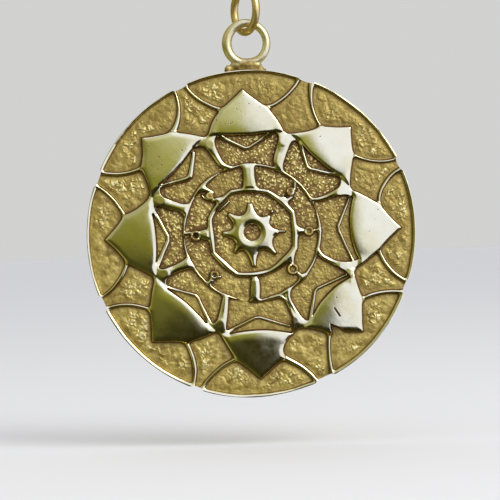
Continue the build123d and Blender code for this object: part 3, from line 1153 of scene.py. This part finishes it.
# Materials
class Nodes:
    """A tree of shader nodes in the making."""

    def __init__(self, tree):
        self.tree = tree

    def node(self, kind, values=(), **settings):
        """Adds a node. values sets or links its inputs by name or number."""
        made = self.tree.nodes.new("ShaderNode" + kind)
        for key, value in settings.items():
            setattr(made, key, value)
        for key, value in dict(values).items():
            self.put(made.inputs[key], value)
        return made

    def put(self, socket, value):
        if isinstance(value, bpy.types.NodeSocket):
            self.tree.links.new(value, socket)
        else:
            socket.default_value = value

    def range(self, value, from_low, from_high, to_low=0.0, to_high=1.0):
        values = {0: value, 1: from_low, 2: from_high, 3: to_low, 4: to_high}
        return self.node("MapRange", values, interpolation_type="SMOOTHSTEP").outputs[0]

    def math(self, operation, a, b):
        return self.node("Math", {0: a, 1: b}, operation=operation).outputs[0]

    def total(self, a, share, b):
        """A share of the first value and all of the second."""
        return self.math("ADD", self.math("MULTIPLY", a, share), b)

    def mix(self, share, a, b):
        """Between two colours."""
        return self.node("Mix", {0: share, 6: a, 7: b}, data_type="RGBA").outputs[2]

    def blend(self, share, a, b):
        """Between two numbers."""
        return self.node("Mix", {0: share, 2: a, 3: b}, data_type="FLOAT").outputs[0]

    def ramp(self, value, stops):
        """A run of colours for a value between -1 and 1. Each stop is a value and its colour."""
        share = self.node("MapRange", {0: value, 1: -1.0, 2: 1.0}).outputs[0]
        made = self.node("ValToRGB", {0: share})
        elements = made.color_ramp.elements
        elements.remove(elements[1])
        for number, (stop, colour) in enumerate(stops):
            place = (stop + 1) / 2
            element = elements[0] if number == 0 else elements.new(place)
            element.position = place
            element.color = (*colour, 1)
        return made.outputs[0]


class Paint(Nodes):
    """A material in the making."""

    def __init__(self, name):
        self.material = bpy.data.materials.new(name)
        self.material.use_nodes = True
        super().__init__(self.material.node_tree)

    def mark(self, name):
        return self.node("Attribute", attribute_name=name).outputs["Fac"]

    def place(self, scale):
        """Position on the piece, in units of 1/scale millimetres."""
        where = self.node("TexCoord").outputs["Object"]
        return self.node("VectorMath", {0: where, 3: scale / MM}, operation="SCALE").outputs[0]

    def noise(self, scale, detail=3.0, rough=0.5):
        values = {"Vector": self.place(scale), "Scale": 1.0, "Detail": detail, "Roughness": rough}
        return self.node("TexNoise", values).outputs["Fac"]

    def bump(self, height, distance, **normal):
        """A bump of so many millimetres, on top of another one where Normal gives it."""
        return self.node("Bump", {"Height": height, "Distance": distance * MM, **normal}).outputs["Normal"]

    def finish(self, colour, metallic, rough, **others):
        """Gives the surface its values and returns the material."""
        values = {"Base Color": colour, "Metallic": metallic, "Roughness": rough, **others}
        for name, value in values.items():
            self.put(self.tree.nodes["Principled BSDF"].inputs[name], value)
        return self.material


polished = (0.84, 0.77, 0.30, 1)
polished_warm = (0.78, 0.69, 0.23, 1)
ochre = (0.40, 0.30, 0.055, 1)
ochre_dark = (0.32, 0.22, 0.035, 1)
# The floors' ochre painted lighter towards the lower left, as painted light
ochre_painted_light = (0.66, 0.51, 0.11, 1)
# Paler ochre of the floor's flakes, partly their own colour and partly a painted highlight
pale_flake_and_glint = (0.72, 0.61, 0.20, 1)
# brown tints the patina and painted shade and mottles the solder; crevice is their darkest
brown = (0.22, 0.125, 0.025, 1)
crevice = (0.06, 0.035, 0.01, 1)

# The light and the warm tone of each plain piece
back_tones = ((0.78, 0.68, 0.24, 1), (0.68, 0.56, 0.16, 1))
loop_tones = ((0.80, 0.71, 0.28, 1), (0.72, 0.60, 0.20, 1))
ring_tones = ((0.74, 0.56, 0.16, 1), (0.60, 0.40, 0.08, 1))
solder_rise = 0.75


def cast_gold():
    """Polished relief, crumbly matt floors, and brown patina and painted shade in the corners."""
    paint = Paint("cast_gold")
    floor, patina_and_painted_shade, flakes = paint.mark("floor"), paint.mark("patina_and_painted_shade"), paint.mark("flakes")
    tone = paint.range(paint.noise(0.35, 3), 0.35, 0.7)
    bright = paint.mix(tone, polished, polished_warm)
    mottle = paint.range(paint.noise(1.4, 4, 0.6), 0.35, 0.7)
    # The floors are painted lighter towards the lower left, as painted light
    dull = paint.mix(mottle, paint.mix(paint.mark("painted_light"), ochre, ochre_painted_light), ochre_dark)
    # The flakes are painted paler, partly as a painted highlight
    dull = paint.mix(paint.range(flakes, 0.2, 0.9), dull, pale_flake_and_glint)
    colour = paint.mix(floor, bright, dull)
    # Brown, then near black, where patina and painted shade lie
    colour = paint.mix(paint.range(patina_and_painted_shade, 0.05, 0.6), colour, brown)
    colour = paint.mix(paint.range(patina_and_painted_shade, 0.55, 1.0), colour, crevice)
    smudge = paint.range(paint.noise(0.8, 4, 0.6), 0.3, 0.75, 0.09, 0.16)
    dull_rough = paint.blend(paint.range(flakes, 0.2, 0.9), 0.48, 0.34)
    rough = paint.blend(floor, smudge, dull_rough)
    rough = paint.blend(paint.range(patina_and_painted_shade, 0.3, 1.0), rough, 0.7)
    skin = paint.bump(paint.math("MULTIPLY", paint.noise(7.0, 3, 0.6), floor), 0.03)
    normal = paint.bump(paint.noise(3.0, 3, 0.6), 0.0022, Normal=skin)
    return paint.finish(colour, paint.blend(floor, 1.0, 0.62), rough, Normal=normal)


def plain_gold(name, light, warm, solder_z=None):
    """Drawn wire and plain cast skin: polished, with faint scratches and uneven tone.
    Below solder_z it turns into dull solder."""
    paint = Paint(name)
    tone = paint.range(paint.noise(0.7, 3), 0.35, 0.7)
    colour = paint.mix(tone, light, warm)
    rough = paint.range(paint.noise(1.6, 4, 0.6), 0.3, 0.75, 0.25, 0.38)
    if solder_z is not None:
        side, _, height = paint.node("SeparateXYZ", {0: paint.place(1.0)}).outputs
        slanted = paint.total(paint.math("ABSOLUTE", side, 0.0), 0.35, height)
        ragged = paint.total(paint.noise(2.0), 0.5, slanted)
        solder = paint.range(ragged, solder_z + 0.1, solder_z + 0.8, 1, 0)
        dull = paint.mix(paint.range(paint.noise(2.0), 0.3, 0.7), brown, ochre)
        colour = paint.mix(solder, colour, dull)
        rough = paint.blend(solder, rough, 0.55)
    return paint.finish(colour, 0.85, rough, Normal=paint.bump(paint.noise(4.0, 3, 0.6), 0.01))


def dress(piece, material):
    piece.data.materials.clear()
    piece.data.materials.append(material)


# Stage: the photograph's pixels, millimetres to a pixel and roll in degrees, where the camera aims, in
# millimetres from the disc's middle, its lens and sensor, and the light in metres and watts
photo_size = 500
photo_scale = 0.10086
photo_roll = 1.75
aim_right = -0.192
aim_up = -1.745
lens = 180
sensor = 36
key_place = (0.35, -0.40, 0.30)
key_size = 0.40
key_power = 2
floor_drop = 5


def add_camera():
    """Straight in front, rolled as the photograph is, at the distance that gives its scale."""
    distance = photo_size * photo_scale * lens / sensor
    turned = Matrix.Rotation(math.radians(90), 4, "X") @ Matrix.Rotation(math.radians(-photo_roll), 4, "Z")
    aim = Vector((0, 0, disc_z)) + turned.to_3x3() @ Vector((aim_right, aim_up, 0))
    data = bpy.data.cameras.new("camera")
    data.lens = lens
    data.sensor_width = sensor
    camera = bpy.data.objects.new("camera", data)
    bpy.context.collection.objects.link(camera)
    camera.matrix_world = Matrix.Translation((aim + turned.to_3x3() @ Vector((0, 0, distance))) * MM) @ turned
    bpy.context.scene.camera = camera


def add_light():
    """One soft disc of light, at the right, in front and above."""
    data = bpy.data.lights.new("key", "AREA")
    data.shape = "DISK"
    data.size = key_size
    data.energy = key_power
    light = bpy.data.objects.new("key", data)
    bpy.context.collection.objects.link(light)
    light.location = key_place
    aim = Vector((0, 0, disc_z * MM))
    light.rotation_euler = (aim - light.location).to_track_quat("-Z", "Y").to_euler()


def add_floor():
    """A plain pale floor below the pendant."""
    bpy.ops.mesh.primitive_circle_add(vertices=96, radius=12, fill_type="NGON")
    floor = bpy.context.object
    floor.name = "floor"
    floor.location.z = (medallion_low[2] - floor_drop) * MM
    floor.visible_glossy = False
    dress(floor, Paint("pale_floor").finish((0.8, 0.8, 0.79, 1), 0.0, 0.9))


def add_world():
    """Pale to the eye all round. What the metal mirrors is a tinted room instead: bright to the right,
    olive at the left, dark below, a little lighter low at the far left, and plain and lighter behind."""
    world = bpy.data.worlds.new("studio")
    bpy.context.scene.world = world
    world.use_nodes = True
    sky = Nodes(world.node_tree)
    sky.tree.nodes.clear()
    right, back, up = sky.node("SeparateXYZ", {0: sky.node("TexCoord").outputs["Generated"]}).outputs
    room = sky.ramp(up, [
        (-1.0, (0.02, 0.018, 0.008)),
        (-0.10, (0.03, 0.027, 0.012)),
        (-0.06, (0.13, 0.13, 0.06)),
        (0.0, (0.28, 0.285, 0.08)),
        (0.06, (0.32, 0.335, 0.11)),
        (0.09, (0.44, 0.45, 0.28)),
        (0.25, (0.85, 0.88, 1.15)),
        (1.0, (0.95, 1.0, 1.4)),
    ])
    room = sky.mix(sky.range(right, -0.25, -0.03, 0.55, 0), room, (0.09, 0.095, 0.03, 1))
    # The bright side's edge leans with height, and more so below
    below = sky.math("MULTIPLY", sky.math("MINIMUM", sky.math("ADD", up, 0.11), 0.0), 1.2)
    below = sky.total(sky.math("MINIMUM", up, 0.0), 0.25, below)
    bright_side = sky.total(right, 1.0, sky.total(up, 0.3, below))
    mirrored = sky.mix(sky.range(bright_side, -0.01, 0.085), room, (1.0, 1.085, 2.5, 1))
    low_left = sky.math("MULTIPLY", sky.range(right, -0.62, -0.50, 1, 0), sky.range(up, -0.32, -0.20, 1, 0))
    mirrored = sky.mix(low_left, mirrored, sky.ramp(up, [
        (-0.8, (0.12, 0.115, 0.05)),
        (-0.3, (0.50, 0.50, 0.30)),
    ]))
    mirrored = sky.mix(sky.range(back, -0.1, 0.4), mirrored, (0.09, 0.07, 0.03, 1))
    mirrored = sky.mix(sky.range(back, 0.5, 0.7), mirrored, sky.ramp(up, [
        (-0.6, (0.15, 0.14, 0.07)),
        (-0.1, (0.50, 0.49, 0.36)),
        (0.5, (0.75, 0.76, 0.70)),
    ]))
    path = sky.node("LightPath")
    seen = sky.mix(path.outputs["Is Glossy Ray"], (0.8, 0.8, 0.8, 1), mirrored)
    seen = sky.mix(path.outputs["Is Camera Ray"], seen, (0.64, 0.64, 0.635, 1))
    background = sky.node("Background", {0: seen})
    sky.node("OutputWorld", {0: background.outputs[0]})


height, marks = draw_relief()
gold = cast_gold()
dressed = [(piece, gold) for piece in build_face(height, marks)]
dressed.append((build_back(height), plain_gold("back_gold", *back_tones)))
dressed.append((build_loop(), plain_gold("loop_gold", *loop_tones, disc_z + disc_radius + solder_rise)))
for piece, material in dressed:
    dress(piece, material)
    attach(piece, "pendant")
    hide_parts("medallion")
hanging_ring = build_ring()
dress(hanging_ring, plain_gold("ring_gold", *ring_tones))
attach(hanging_ring, "hanger")
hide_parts("jump_ring")

add_camera()
add_floor()
add_world()
add_light()
bpy.context.scene.view_settings.view_transform = "Standard"
